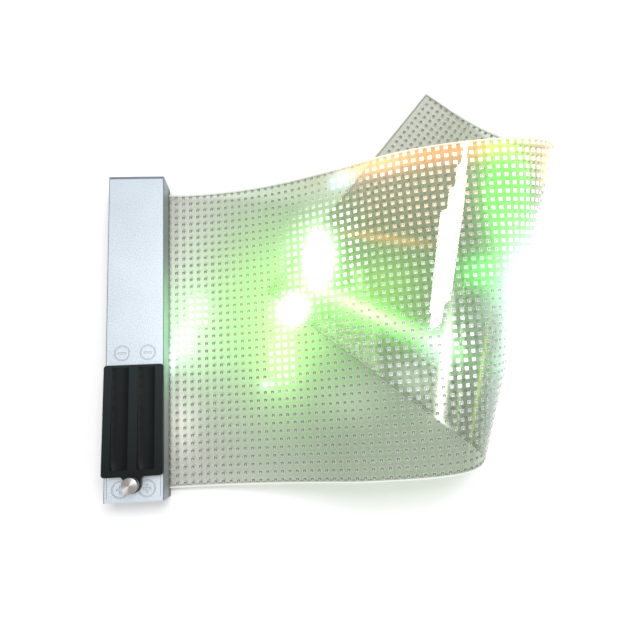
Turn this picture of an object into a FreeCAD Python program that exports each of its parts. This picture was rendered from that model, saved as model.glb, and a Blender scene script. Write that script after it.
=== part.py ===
import FreeCAD, Part
import math
import os

# A clear LED film held by one edge in a slim bar with two battery cells and a driver board.
# Millimetres, +Z up. The origin is the middle of the bar's underside. The bar lies along Y,
# the film leaves its right wall towards +X, and the battery end is at -Y.

# LED film
led_rows = 40
led_pitch = 6.25
film_thickness = 0.8
film_exit_height = 5.5
film_grip_length = 16.0
contact_edge_length = 2.5
tail_length = 14.7

# LED packages. The solids carry those of every third row and every fourth column.
led_length = 2.3
led_width = 2.1
led_height = 0.45
led_gap = 0.05
led_row_step = 3
led_column_step = 4
led_first_row = 3
led_first_column = 2

# How the loose film lies. Middles and lengths run along its middle line from the bar, and
# turns are in degrees, up where they are positive. Each bend eases in and out.
rise_length = 220.0
rise_turn = 38.8
crest_middle = 182.0
crest_length = 64.0
crest_turn = -24.0
curl_middle = 300.0
curl_length = 216.0
curl_turn = -75.0
pinch_middle = 326.0
pinch_length = 166.0
pinch_turn = -102.0

# The straight lines that the film bends about: how far along they lie, and their angle to
# the long edge in degrees. They are square to it up to the first place.
square_place = 130.0
square_slant = 90.0
crest_place = 200.0
crest_slant = 73.5
curl_place = 320.0
curl_slant = 71.5
tail_place = 420.0
tail_slant = 52.0
bend_step = 2.0
steps_per_point = 3

# Housing bar, an extrusion with a slot, a step that the film is clamped to, and two ledges
bar_wall = 2.2
bar_edge_radius = 0.8
film_end_margin = 6.5
far_plate_thickness = 2.0
end_flange_thickness = 3.0
slot_end_clearance = 0.6
seal_thickness = 0.8
step_width = 10.0
ledge_width = 3.0
ledge_thickness = 2.0
ledge_gap = 0.1
screw_channel_half = 2.6
screw_channel_inset = 1.8
screw_channel_height = 3.2

# Screws that hold the ends on
end_screw_radius = 1.2
end_screw_length = 9.0
end_screw_head_radius = 2.3
end_screw_head_depth = 1.2
screw_hole_clearance = 0.05
screw_pass_clearance = 0.3

# Battery bay, cells and tray
cell_radius = 9.2
cell_length = 65.2
cell_pitch = 20.0
cell_stand = 0.15
cell_button_radius = 2.8
cell_button_height = 1.2
cell_clearance = 0.3
cell_seat_gap = 0.05
tray_wall = 1.8
tray_floor = 1.4
tray_side_wall = 0.5
tray_side_clearance = 0.3
tray_hook_gap = 1.2
tray_end_height = 5.5
contact_thickness = 0.4
contact_width = 8.0
contact_slot_play = 0.1
contact_rail_height = 4.0
contact_pad_height = 4.0
contact_strip_width = 3.0
spring_length = 7.6
spring_width = 6.0
spring_drop = 4.5
spring_gap = 0.05
spring_return = 0.3

# Cover, a wedge with two scooped flutes and a round ear under the thumbscrew
cover_overhang = 0.3
cover_low_height = 3.7
cover_high_height = 6.7
cover_wall = 1.8
cover_corner_radius = 2.4
cover_lap = 2.5
flute_width = 13.0
flute_start = 2.0
flute_end_margin = 5.0
flute_shallow = 0.5
flute_deep = 2.6
flute_side_share = 0.35
flute_corner_radius = 2.2
flute_over = 3.0
cut_over = 1.0
ear_from_end = 13.0
ear_radius = 6.4
ear_reach = 6.0
ear_fillet = 3.0
hook_width = 8.0
hook_reach = 3.5
hook_thickness = 1.4
hook_gap = 0.3

# Thumbscrew and its insert
knob_radius = 6.0
knob_height = 8.0
knob_chamfer = 0.5
knob_lift = 0.05
shank_radius = 2.0
shank_length = 17.0
shank_clearance = 0.25
thread_clearance = 0.02
insert_radius = 3.0
insert_length = 8.0
insert_depth = 2.0

# End block
block_clearance = 0.25
block_lap = 0.5
block_over_ledge = 1.0
block_plate = 3.0
block_post_wall = 2.2
block_web = 2.0

# Film clamp
clamp_thickness = 2.3
clamp_side_gap = 0.3
clamp_end_gap = 1.0

# Driver board
board_thickness = 1.6
board_end_gap = 5.0
board_side_gap = 0.4
board_edge_seat = 3.0
board_play = 0.1
rail_width = 2.6
rail_overlap = 1.2
rail_lip = 1.2
connector_count = 5
connector_length = 22.0
connector_width = 7.0
connector_height = 2.6
connector_play = 0.05
parts_from_edge = 9.0
parts_gap = 3.0
terminal_width = 4.0
terminal_pitch = 7.0
terminal_length = 6.0
terminal_from_end = 6.0
radio_width = 11.0
radio_length = 15.0
radio_height = 2.4
radio_board = 0.8
radio_can_margin = 0.6
radio_antenna = 4.0
inductor_side = 8.0
inductor_height = 4.2
inductor_corner = 1.5
capacitor_count = 3
capacitor_length = 5.6
capacitor_width = 4.4
capacitor_height = 2.8
capacitor_pitch = 6.5
chip_count = 8
chip_side = 5.0
chip_pitch = 7.6
chip_height = 0.9
control_chip_side = 8.0
control_chip_height = 1.2

# Places worked out from the sizes above
film_width = led_rows * led_pitch
bar_length = film_width + 2 * film_end_margin
cell_x = cell_pitch / 2
tray_half = cell_x + cell_radius + cell_clearance + tray_side_wall
inner_half = tray_half + tray_side_clearance
bar_half = inner_half + bar_wall
far_y = bar_length / 2 - far_plate_thickness
near_y = -bar_length / 2 + end_flange_thickness
film_low = film_exit_height - film_thickness / 2
film_high = film_exit_height + film_thickness / 2
film_inner_x = bar_half - bar_wall - film_grip_length
step_x = inner_half - step_width
clamp_top = film_high + clamp_thickness
ledge_low = clamp_top + ledge_gap
ledge_top = ledge_low + ledge_thickness
tray_floor_top = ledge_top + tray_floor
cradle_z = tray_floor_top + cell_radius + cell_clearance
cell_z = tray_floor_top + cell_radius + cell_seat_gap
tray_end_top = cell_z + tray_end_height
bar_height = cell_z + cell_radius - cell_stand
channel_x = inner_half - screw_channel_inset

# Along the bar, from the thumbscrew to the far end of the battery bay
ear_y = -bar_length / 2 + ear_from_end
cover_near_y = ear_y + ear_reach
block_far_y = cover_near_y + block_lap
tray_near_y = block_far_y + block_clearance
tray_inner_near_y = tray_near_y + tray_wall
cell_near_y = tray_inner_near_y + contact_thickness + cell_button_height
cell_far_y = cell_near_y + cell_length
tray_inner_far_y = cell_far_y + spring_length + contact_thickness
tray_far_y = tray_inner_far_y + tray_wall
bay_far_y = tray_far_y + tray_hook_gap + cover_wall + hook_gap
cover_far_y = bay_far_y + cover_lap
cover_slope = math.atan2(cover_high_height - cover_low_height, cover_far_y - cover_near_y)

board_top = film_low
board_low = board_top - board_thickness
board_right = step_x + board_edge_seat - board_play
board_left = -channel_x + screw_channel_half + board_side_gap
board_near_y = bay_far_y + board_end_gap
board_far_y = far_y - board_end_gap
row_x = board_left + parts_from_edge
strip_low = ledge_top - contact_thickness
positive_x = row_x - terminal_pitch / 2
negative_x = row_x + terminal_pitch / 2

# Where each thing on the board starts, one after another from the battery end
terminal_y = board_near_y + terminal_from_end
radio_y = terminal_y + terminal_length + parts_gap
inductor_y = radio_y + radio_length + parts_gap
capacitor_y = inductor_y + inductor_side + parts_gap
chip_y = capacitor_y + capacitor_count * capacitor_pitch + parts_gap
control_chip_y = chip_y + chip_count * chip_pitch + parts_gap


def vec(x, y, z):
    """A point or direction."""
    return FreeCAD.Vector(x, y, z)


def block(x0, x1, y0, y1, z0, z1):
    """A box between two corners."""
    return Part.makeBox(x1 - x0, y1 - y0, z1 - z0, vec(x0, y0, z0))


def rod(radius, start, end):
    """A round bar from one point to another."""
    run = end - start
    return Part.makeCylinder(radius, run.Length, start, run)


def cone(radius_0, radius_1, start, end):
    """A tapered round bar from one point to another."""
    run = end - start
    return Part.makeCone(radius_0, radius_1, run.Length, start, run)


def joined(shapes):
    """Several shapes as one, with the seams between their flat faces taken out."""
    whole = shapes[0].fuse(shapes[1:])
    return whole.removeSplitter()


def upright_edges(shape, points):
    """The edges along Z whose ends lie at one of the (x, y) points."""
    found = []
    for edge in shape.Edges:
        ends = [v.Point for v in edge.Vertexes]
        if len(ends) != 2 or abs(ends[0].x - ends[1].x) + abs(ends[0].y - ends[1].y) > 1e-6:
            continue
        if any(math.hypot(ends[0].x - x, ends[0].y - y) < 1e-3 for x, y in points):
            found.append(edge)
    return found


def save(name, shape):
    """Writes one node's STEP file."""
    if not shape.isValid():
        print("not valid:", name)
    shape.exportStep(os.path.join("parts", name + ".step"))


# LED film

def bend_rate(place):
    """The film's curvature along its middle line, in radians a millimetre: the rise is
    strongest at the bar and dies away, and each later bend is a smooth hump."""
    share = min(place / rise_length, 1.0)
    rate = math.radians(rise_turn) / rise_length * 1.5 * (1.0 - share * share)
    humps = (
        (crest_middle, crest_length, crest_turn),
        (curl_middle, curl_length, curl_turn),
        (pinch_middle, pinch_length, pinch_turn),
    )
    for middle, length, turn in humps:
        share = min(max((place - middle) / length + 0.5, 0.0), 1.0)
        rate += math.radians(turn) / length * 6.0 * share * (1.0 - share)
    return rate


def bend_slant(place):
    """The angle in radians between the long edge and the line that the film bends about."""
    places = (0.0, square_place, crest_place, curl_place, tail_place)
    slants = (square_slant, square_slant, crest_slant, curl_slant, tail_slant)
    for i in range(len(places) - 1):
        if place <= places[i + 1]:
            share = (place - places[i]) / (places[i + 1] - places[i])
            return math.radians(slants[i] + share * (slants[i + 1] - slants[i]))
    return math.radians(slants[-1])


def film_rulings():
    """Walks along the film from the bar and turns a frame about each bend line, so that the
    sheet unrolls flat with no stretch. Each entry is (place, point, along, across, normal)."""
    end = max(curl_middle + curl_length / 2, pinch_middle + pinch_length / 2)
    count = steps_per_point * math.ceil(end / bend_step / steps_per_point)
    step = end / count
    point = vec(bar_half, 0, film_exit_height)
    along = vec(1, 0, 0)
    across = vec(0, 1, 0)
    normal = vec(0, 0, 1)
    rulings = [(0.0, point, along, across, normal)]
    for i in range(count):
        middle = (i + 0.5) * step
        rate = bend_rate(middle)
        twist = -rate / math.tan(bend_slant(middle))
        turn = along * twist - across * rate
        before = along
        if turn.Length > 1e-9:
            spin = FreeCAD.Rotation(turn, math.degrees(turn.Length * step))
            along = spin.multVec(along)
            across = spin.multVec(across)
            normal = spin.multVec(normal)
        point = point + (before + along) * (step / 2)
        rulings.append(((i + 1) * step, point, along, across, normal))
    return rulings


def ruling_end(ruling, side, offset):
    """The point where a bend line meets a long edge: side is 1 or -1, offset is along the normal."""
    place, point, along, across, normal = ruling
    reach = side * film_width / 2
    return point + along * (reach / math.tan(bend_slant(place))) + across * reach + normal * offset


def smooth_curve(points, places):
    """One smooth curve through the points, timed by their place along the film."""
    curve = Part.BSplineCurve()
    curve.interpolate(Points=points, Parameters=places)
    return curve


def ruled_faces(first, second, places):
    """Surfaces of straight lines between two curves that have the same timing, one for each
    stretch between two places."""
    faces = []
    for start, end in zip(places[:-1], places[1:]):
        near, far = first.copy(), second.copy()
        near.segment(start, end)
        far.segment(start, end)
        poles = [near.getPoles(), far.getPoles()]
        counts, knots = near.getMultiplicities(), near.getKnots()
        strip = Part.BSplineSurface()
        strip.buildFromPolesMultsKnots(
            poles, [2, 2], counts, [0.0, 1.0], knots, False, False, 1, near.Degree
        )
        faces.append(strip.toShape())
    return faces


def flat_face(points):
    """A flat face with these corners."""
    return Part.Face(Part.makePolygon(points + points[:1]))


def led_film():
    """One clear sheet: the flat edge gripped in the bar, the curling stretch ruled between its
    two long edges, and the flat tail with the free end."""
    rulings = film_rulings()
    kept = rulings[::steps_per_point]
    places = [r[0] for r in kept]
    last = rulings[-1]
    cot = 1.0 / math.tan(bend_slant(last[0]))
    tail_end = last[0] + film_width / 2 * abs(cot) + tail_length
    half = film_width / 2
    skins = {}
    curves = {}
    for offset in (-film_thickness / 2, film_thickness / 2):
        z = film_exit_height + offset
        grip = [vec(film_inner_x, s * half, z) for s in (-1, 1)]
        exit_line = [ruling_end(rulings[0], s, offset) for s in (-1, 1)]
        tail_line = [ruling_end(last, s, offset) for s in (-1, 1)]
        base = last[1] + last[4] * offset + last[2] * (tail_end - last[0])
        free = [base + last[3] * (s * half) for s in (-1, 1)]
        edges = [smooth_curve([ruling_end(r, s, offset) for r in kept], places) for s in (-1, 1)]
        curves[offset] = (grip, exit_line, edges, tail_line, free)
        skins[offset] = ruled_faces(edges[0], edges[1], places)
        skins[offset].append(flat_face([grip[0], exit_line[0], exit_line[1], grip[1]]))
        skins[offset].append(flat_face([tail_line[0], free[0], free[1], tail_line[1]]))
    low, high = curves[-film_thickness / 2], curves[film_thickness / 2]
    faces = skins[-film_thickness / 2] + skins[film_thickness / 2]
    for side in (0, 1):
        faces.append(flat_face([low[0][side], low[1][side], high[1][side], high[0][side]]))
        faces += ruled_faces(low[2][side], high[2][side], places)
        faces.append(flat_face([low[3][side], low[4][side], high[4][side], high[3][side]]))
    for stage in (0, 4):
        faces.append(flat_face([low[stage][0], low[stage][1], high[stage][1], high[stage][0]]))
    shell = Part.Shell(faces)
    shell.sewShape()
    sheet = Part.Solid(Part.Shell(shell.Faces))
    if sheet.Volume < 0:
        sheet.reverse()
    return sheet


def film_place(along_film, across_film, rulings):
    """Where a point of the flat film lies once it is bent: its own bend line is the one that
    it reaches by going along the film by the line's slant. Gives the point and the three
    directions there."""
    end = rulings[-1][0]
    place = along_film
    for _ in range(80):
        place = along_film - across_film / math.tan(bend_slant(place))
        place = min(max(place, 0.0), end)
    spacing = rulings[1][0]
    index = min(int(place / spacing), len(rulings) - 2)
    share = place / spacing - index
    before, after = rulings[index], rulings[index + 1]
    point, along, across, normal = (
        before[i] * (1 - share) + after[i] * share for i in range(1, 5)
    )
    point = point + along * (along_film - place) + across * across_film
    return point, along, across, normal


def led_packages():
    """LED packages on the film's outer face, each on its own small flat stretch of it."""
    rulings = film_rulings()
    tail_end = rulings[-1][0] + film_width / 2 / math.tan(bend_slant(rulings[-1][0])) + tail_length
    package = block(-led_length / 2, led_length / 2, -led_width / 2, led_width / 2, 0, led_height)
    columns = int(tail_end / led_pitch)
    shapes = []
    for column in range(led_first_column, columns, led_column_step):
        for row in range(led_first_row, led_rows - led_first_row, led_row_step):
            u = column * led_pitch
            v = (led_rows - 1 - 2 * row) * led_pitch / 2
            point, along, across, normal = film_place(u, v, rulings)
            base = point + normal * (film_thickness / 2 + led_gap)
            turn = FreeCAD.Rotation(along, across, normal, "ZXY")
            shape = package.copy()
            shape.Placement = FreeCAD.Placement(base, turn)
            shapes.append(shape)
    return Part.makeCompound(shapes)


# Housing bar

def bar_outline(y0, y1):
    """The bar's outer shape between two places along Y, with its long edges rounded."""
    body = block(-bar_half, bar_half, y0, y1, 0.0, bar_height)
    long_edges = [e for e in body.Edges if abs(e.Vertexes[0].Y - e.Vertexes[1].Y) > 1e-6]
    return body.makeFillet(bar_edge_radius, long_edges)


def channel_places():
    """The (x, z) of the two lengthwise screw holes, both low in the bar."""
    return (-channel_x, screw_channel_height), (channel_x, screw_channel_height)


def housing():
    """Extruded bar: outer tube, clamp step with a seat for the board's edge, board rail, two
    ledges and the screw channel in one section, with the battery bay milled out of the top and
    the film slot out of the right wall."""
    body = bar_outline(near_y, far_y)
    inside = block(-inner_half, inner_half, near_y, far_y, bar_wall, bar_height - bar_wall)
    step = block(step_x, inner_half, near_y, far_y, bar_wall, film_low)
    seat = block(step_x, step_x + board_edge_seat, near_y, far_y, board_low, film_low)
    rail_x = board_left + rail_overlap
    rail_top = board_top + board_play + rail_lip
    rail = block(rail_x - rail_width, rail_x, near_y, far_y, bar_wall, rail_top)
    groove = block(board_left - board_play, rail_x, near_y, far_y, board_low, board_top + board_play)
    ribs = [
        step.cut(seat),
        rail.cut(groove),
        block(-inner_half, -inner_half + ledge_width, near_y, far_y, ledge_low, ledge_top),
        block(inner_half - ledge_width, inner_half, near_y, far_y, ledge_low, ledge_top),
    ]
    channel_side = -channel_x + screw_channel_half
    channel_top = screw_channel_height + screw_channel_half
    ribs.append(block(-inner_half, channel_side, near_y, far_y, bar_wall, channel_top))
    for rib in ribs:
        inside = inside.cut(rib)
    body = body.cut(inside)
    bay = block(-inner_half, inner_half, near_y - cut_over, bay_far_y, bar_height / 2, bar_height + cut_over)
    body = body.cut(bay)
    for x, z in channel_places():
        hole = end_screw_radius + screw_hole_clearance
        body = body.cut(rod(hole, vec(x, near_y, z), vec(x, far_y, z)))
    slot_half = film_width / 2 + slot_end_clearance
    slot_low = film_low - seal_thickness
    slot_high = film_high + seal_thickness
    slot = block(inner_half, bar_half + cut_over, -slot_half, slot_half, slot_low, slot_high)
    return body.cut(slot)


def end_screw(x, z, face_y, inward):
    """A flat-headed screw at (x, z): its head is sunk flush with face_y, and it points inward
    along Y."""
    face = vec(x, face_y, z)
    tip = vec(x, face_y + inward * end_screw_length, z)
    head = vec(x, face_y + inward * end_screw_head_depth, z)
    shank = rod(end_screw_radius, face, tip)
    return joined([shank, rod(end_screw_head_radius, face, head)])


def end_screw_seat(x, z, face_y, inward, depth):
    """The stepped hole for an end screw through a plate of this depth."""
    face = vec(x, face_y, z)
    head = vec(x, face_y + inward * end_screw_head_depth, z)
    hole = rod(end_screw_radius + screw_pass_clearance, face, vec(x, face_y + inward * depth, z))
    return hole.fuse(rod(end_screw_head_radius, face, head))


def end_screws():
    """Two low screws through the far plate, and two through the end block."""
    far = [end_screw(x, z, bar_length / 2, -1) for x, z in channel_places()]
    near = [end_screw(x, z, -bar_length / 2, 1) for x, z in channel_places()]
    return Part.makeCompound(far + near)


def far_end_plate():
    """Thin plate across the upper end of the bar."""
    plate = bar_outline(far_y, bar_length / 2)
    for x, z in channel_places():
        plate = plate.cut(end_screw_seat(x, z, bar_length / 2, -1, far_plate_thickness))
    return plate


def battery_end_block():
    """End piece at the battery end: a flange across the bar, a top plate that lies between the
    side walls, a post for the threaded insert, and three webs under the plate."""
    half = inner_half - block_clearance
    low = ledge_top + block_over_ledge
    plate_low = bar_height - block_plate
    flange = bar_outline(-bar_length / 2, near_y)
    post_half = insert_radius + block_post_wall
    post_low = plate_low - insert_length - insert_depth
    pieces = [
        flange,
        block(-half, half, near_y, block_far_y, plate_low, bar_height),
        block(-post_half, post_half, ear_y - post_half, ear_y + post_half, post_low, plate_low),
        block(-half, half, block_far_y - block_web, block_far_y, low, plate_low),
    ]
    for side in (-1, 1):
        web = side * (half - block_web / 2)
        pieces.append(block(web - block_web / 2, web + block_web / 2, near_y, block_far_y, low, plate_low))
    body = joined(pieces)
    shank_hole = shank_radius + shank_clearance
    body = body.cut(rod(shank_hole, vec(0, ear_y, post_low), vec(0, ear_y, bar_height)))
    body = body.cut(rod(insert_radius, vec(0, ear_y, post_low), vec(0, ear_y, post_low + insert_length)))
    for x, z in channel_places():
        body = body.cut(end_screw_seat(x, z, -bar_length / 2, 1, end_flange_thickness))
    return body


# Battery cells, tray and contacts

def battery_cell(x):
    """Round cell with its raised plus button."""
    middle = vec(x, 0, cell_z)
    can = rod(cell_radius, middle + vec(0, cell_near_y, 0), middle + vec(0, cell_far_y, 0))
    tip = vec(x, cell_near_y - cell_button_height, cell_z)
    return joined([can, rod(cell_button_radius, tip, vec(x, cell_near_y, cell_z))])


def battery_tray():
    """Moulded tray: two round cradles as high as the cells' middles, end walls a little higher,
    and slots in front of the end walls that take the contacts."""
    body = block(-tray_half, tray_half, tray_near_y, tray_far_y, ledge_top, tray_end_top)
    for x in (-cell_x, cell_x):
        start = vec(x, tray_inner_near_y, cradle_z)
        body = body.cut(rod(cell_radius + cell_clearance, start, vec(x, tray_inner_far_y, cradle_z)))
    reach = tray_half + cut_over
    body = body.cut(block(-reach, reach, tray_inner_near_y, tray_inner_far_y, cell_z, bar_height))
    slot = contact_thickness + contact_slot_play
    reach = cell_x + contact_width / 2 + contact_slot_play
    slots = (
        (tray_inner_near_y, tray_inner_near_y + slot, positive_x),
        (tray_inner_far_y - slot - spring_length, tray_inner_far_y, negative_x),
    )
    for y0, y1, strip_x in slots:
        body = body.cut(block(-reach, reach, y0, y1, tray_floor_top, cell_z + cut_over))
    for y0, y1, strip_x in slots:
        half = contact_strip_width / 2 + contact_slot_play
        start = max(y0, y1 - slot)
        body = body.cut(block(strip_x - half, strip_x + half, start, y1, ledge_top - cut_over, cell_z))
    return body


def contact_plate(y0, y1, strip_x):
    """A contact's upright plate with a pad behind each cell, its leg down through the tray's
    floor, and its flat strip under the tray to the board."""
    reach = cell_x + contact_width / 2
    rail_top = tray_floor_top + contact_rail_height
    half = contact_strip_width / 2
    pieces = [
        block(-reach, reach, y0, y1, tray_floor_top, rail_top),
        block(strip_x - half, strip_x + half, y0, y1, strip_low, rail_top),
        block(strip_x - half, strip_x + half, y0, terminal_y + terminal_length, strip_low, ledge_top),
    ]
    for x in (-cell_x, cell_x):
        x0, x1 = x - contact_width / 2, x + contact_width / 2
        pieces.append(block(x0, x1, y0, y1, tray_floor_top, cell_z + contact_pad_height))
    return joined(pieces)


def positive_contact():
    """Sheet contact at the plus end."""
    return contact_plate(tray_inner_near_y, tray_inner_near_y + contact_thickness, positive_x)


def negative_contact():
    """Sheet contact at the minus end, with a bent leaf spring for each cell."""
    y1 = tray_inner_far_y
    y0 = y1 - contact_thickness
    knee = spring_length - spring_gap
    front = [
        vec(0, y0, cell_z + contact_pad_height),
        vec(0, y0 - knee, cell_z),
        vec(0, y0 - knee * spring_return, cell_z - spring_drop),
    ]
    back = [point + vec(0, contact_thickness, 0) for point in front]
    leaves = []
    for x in (-cell_x, cell_x):
        leaf = flat_face(front + back[::-1]).extrude(vec(spring_width, 0, 0))
        leaf.translate(vec(x - spring_width / 2, 0, 0))
        leaves.append(leaf)
    return joined([contact_plate(y0, y1, negative_x)] + leaves)


# Cover

def cover_top(y):
    """The height of the cover's sloping face at a place along Y."""
    return bar_height + cover_high_height - (y - cover_near_y) * math.tan(cover_slope)


def cover_prism(inset, low, drop):
    """The cover's outline drawn in by inset, from the height low up to the sloping face less drop."""
    half = bar_half + cover_overhang - inset
    y0, y1 = cover_near_y + inset, cover_far_y - inset
    side = flat_face([
        vec(-half, y0, low),
        vec(-half, y1, low),
        vec(-half, y1, cover_top(y1) - drop),
        vec(-half, y0, cover_top(y0) - drop),
    ])
    body = side.extrude(vec(2 * half, 0, 0))
    corners = [(x, y) for x in (-half, half) for y in (y0, y1)]
    return body.makeFillet(max(cover_corner_radius - inset, 0.4), upright_edges(body, corners))


def floor_radius(depth):
    """How round a flute's floor is across the cover, where its middle is this deep. The side
    walls take their share of the depth, and the floor's bow takes the rest."""
    bow = depth * (1 - flute_side_share)
    half = flute_width / 2
    return (half * half + bow * bow) / (2 * bow)


def flute_ends():
    """Where the flutes start and end along Y."""
    return cover_near_y + flute_end_margin, cover_far_y - flute_start


def flute(x):
    """The solid scooped out for one flute. Its floor is part of a cone whose tip lies past the
    near end: deep and round there, shallow and almost flat at the far end. The side walls are
    straight, and the near end's corners are rounded."""
    y0, y1 = flute_ends()
    round_end, flat_end = floor_radius(flute_deep), floor_radius(flute_shallow)
    start = vec(x, y0, cover_top(y0) - flute_deep)
    line = vec(x, y1, cover_top(y1) - flute_shallow) - start
    before = line.Length * round_end / (flat_end - round_end)
    height = before + line.Length
    line.normalize()
    angle = math.atan2(round_end, before)
    axis = line * math.cos(angle) + vec(0, -line.z, line.y) * math.sin(angle)
    scoop = Part.makeCone(0, height * math.tan(angle), height, start - line * before, axis)
    half = flute_width / 2
    plan = block(x - half, x + half, y0, y1, bar_height, bar_height + cover_high_height + flute_over)
    plan = plan.makeFillet(flute_corner_radius, upright_edges(plan, [(x - half, y0), (x + half, y0)]))
    return scoop.common(plan)


def flute_skin(x):
    """The wall left inside the cover under one flute, as a wedge with flat faces."""
    half = flute_width / 2 + cover_wall
    y0, y1 = flute_ends()
    y0, y1 = y0 - cover_wall, y1 + cover_wall
    side = flat_face([
        vec(x - half, y0, cover_top(y0) - flute_deep - cover_wall),
        vec(x - half, y1, cover_top(y1) - flute_shallow - cover_wall),
        vec(x - half, y1, cover_top(y1) + cover_wall),
        vec(x - half, y0, cover_top(y0) + cover_wall),
    ])
    return side.extrude(vec(2 * half, 0, 0))


def battery_cover():
    """Black wedge-shaped cover: a hollow shell with two scooped flutes, a round ear under the
    thumbscrew, and two hooks that go under the housing's top wall."""
    ear_top = cover_top(ear_y) + cut_over
    ear = rod(ear_radius, vec(0, ear_y, bar_height), vec(0, ear_y, ear_top))
    body = cover_prism(0.0, bar_height, 0.0)
    half = ear_radius
    neck = block(-half, half, ear_y, cover_near_y + cut_over, bar_height, ear_top)
    body = joined([body, ear.fuse(neck).cut(above_slope())])
    root = [(-half, cover_near_y), (half, cover_near_y)]
    body = body.makeFillet(ear_fillet, upright_edges(body, root))
    cavity = cover_prism(cover_wall, bar_height - cut_over, cover_wall)
    for x in (-cell_x, cell_x):
        cavity = cavity.cut(flute_skin(x))
    body = body.cut(cavity)
    for x in (-cell_x, cell_x):
        body = body.cut(flute(x))
    body = body.cut(rod(shank_radius + shank_clearance, vec(0, ear_y, bar_height), vec(0, ear_y, ear_top)))
    return joined([body] + cover_hooks())


def above_slope():
    """Everything above the cover's sloping face, as a cutting block."""
    reach = 20.0
    y0, y1 = cover_near_y - reach, cover_far_y + reach
    half = bar_half + reach
    side = flat_face([
        vec(-half, y0, cover_top(y0)),
        vec(-half, y1, cover_top(y1)),
        vec(-half, y1, bar_height + reach),
        vec(-half, y0, bar_height + reach),
    ])
    return side.extrude(vec(2 * half, 0, 0))


def cover_hooks():
    """Two hooks: each has a leg down from the cover's rim and a tongue under the top wall."""
    hooks = []
    tongue_top = bar_height - bar_wall - hook_gap
    leg_far = bay_far_y - hook_gap
    leg_near = leg_far - cover_wall
    for x in (-cell_x, cell_x):
        x0, x1 = x - hook_width / 2, x + hook_width / 2
        leg = block(x0, x1, leg_near, leg_far, tongue_top - hook_thickness, cover_top(leg_far) - cover_wall)
        tongue = block(x0, x1, leg_near, bay_far_y + hook_reach, tongue_top - hook_thickness, tongue_top)
        hooks += [leg, tongue]
    return hooks


# Thumbscrew and insert

def thumbscrew():
    """Turned knob with a chamfered rim and a plain shank."""
    low = cover_top(ear_y - ear_radius) + knob_lift
    high = low + knob_height
    rim = high - knob_chamfer
    head = rod(knob_radius, vec(0, ear_y, low), vec(0, ear_y, rim))
    crown = cone(knob_radius, knob_radius - knob_chamfer, vec(0, ear_y, rim), vec(0, ear_y, high))
    shank = rod(shank_radius, vec(0, ear_y, low - shank_length), vec(0, ear_y, low))
    return joined([head, crown, shank])


def threaded_insert():
    """Brass insert in the end block's post."""
    low = bar_height - block_plate - insert_length - insert_depth
    body = rod(insert_radius, vec(0, ear_y, low), vec(0, ear_y, low + insert_length))
    bore = rod(shank_radius + thread_clearance, vec(0, ear_y, low), vec(0, ear_y, low + insert_length))
    return body.cut(bore)


# Film clamp and seals

def film_clamp_bar():
    """Flat strip, slid in under the right ledge, that holds the film down on the step and the
    board's edge."""
    reach = film_width / 2 - clamp_end_gap
    return block(step_x + clamp_side_gap, inner_half - clamp_side_gap, -reach, reach, film_high, clamp_top)


def slot_seal(side):
    """A rubber lip between the slot and the film: side 1 lies above the film, -1 below it."""
    half = film_width / 2
    near = film_exit_height + side * film_thickness / 2
    far = near + side * seal_thickness
    z0, z1 = min(near, far), max(near, far)
    return block(inner_half, bar_half, -half, half, z0, z1)


# Driver board and its parts

def on_board(x, y, width, length, height):
    """A box that stands on the board, centred on x and starting at y."""
    return block(x - width / 2, x + width / 2, y, y + length, board_top, board_top + height)


def driver_board():
    """Long circuit board: its left edge lies in the rail, its right edge on the step's seat."""
    return block(board_left, board_right, board_near_y, board_far_y, board_low, board_top)


def film_connectors():
    """Edge connectors along the board, each with a mouth that takes the film's contact edge."""
    pieces = []
    x1 = film_inner_x + contact_edge_length
    x0 = x1 - connector_width
    pitch = (board_far_y - board_near_y) / connector_count
    for i in range(connector_count):
        y = board_near_y + pitch * (i + 0.5)
        y0, y1 = y - connector_length / 2, y + connector_length / 2
        body = block(x0, x1, y0, y1, board_top, board_top + connector_height)
        mouth_x = film_inner_x - connector_play
        y0, y1 = y0 - cut_over, y1 + cut_over
        high = film_high + connector_play
        mouth = block(mouth_x, x1 + cut_over, y0, y1, board_top - cut_over, high)
        pieces.append(body.cut(mouth))
    return Part.makeCompound(pieces)


def battery_terminals():
    """Two metal blocks that carry the contact strips' ends."""
    height = strip_low - board_top
    places = (positive_x, negative_x)
    blocks = [on_board(x, terminal_y, terminal_width, terminal_length, height) for x in places]
    return Part.makeCompound(blocks)


def radio_module():
    """Small radio board with its shield can, and a bare end for the antenna."""
    base = on_board(row_x, radio_y, radio_width, radio_length, radio_board)
    can_width = radio_width - 2 * radio_can_margin
    can_length = radio_length - radio_antenna - radio_can_margin
    can = on_board(row_x, radio_y + radio_antenna, can_width, can_length, radio_height)
    return joined([base, can])


def power_inductor():
    """Square power inductor with cut corners."""
    body = on_board(row_x, inductor_y, inductor_side, inductor_side, inductor_height)
    half = inductor_side / 2
    corners = [(row_x + s * half, inductor_y + y) for s in (-1, 1) for y in (0, inductor_side)]
    return body.makeChamfer(inductor_corner, upright_edges(body, corners))


def capacitors():
    """Moulded block capacitors."""
    blocks = []
    for i in range(capacitor_count):
        y = capacitor_y + capacitor_pitch * (i + 0.5)
        blocks.append(on_board(row_x, y, capacitor_length, capacitor_width, capacitor_height))
    return Part.makeCompound(blocks)


def driver_chips():
    """A row of flat driver chips."""
    chips = []
    for i in range(chip_count):
        y = chip_y + chip_pitch * (i + 0.5) - chip_side / 2
        chips.append(on_board(row_x, y, chip_side, chip_side, chip_height))
    return Part.makeCompound(chips)


def control_chip():
    """The control chip near the board's far end."""
    return on_board(row_x, control_chip_y, control_chip_side, control_chip_side, control_chip_height)


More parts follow.
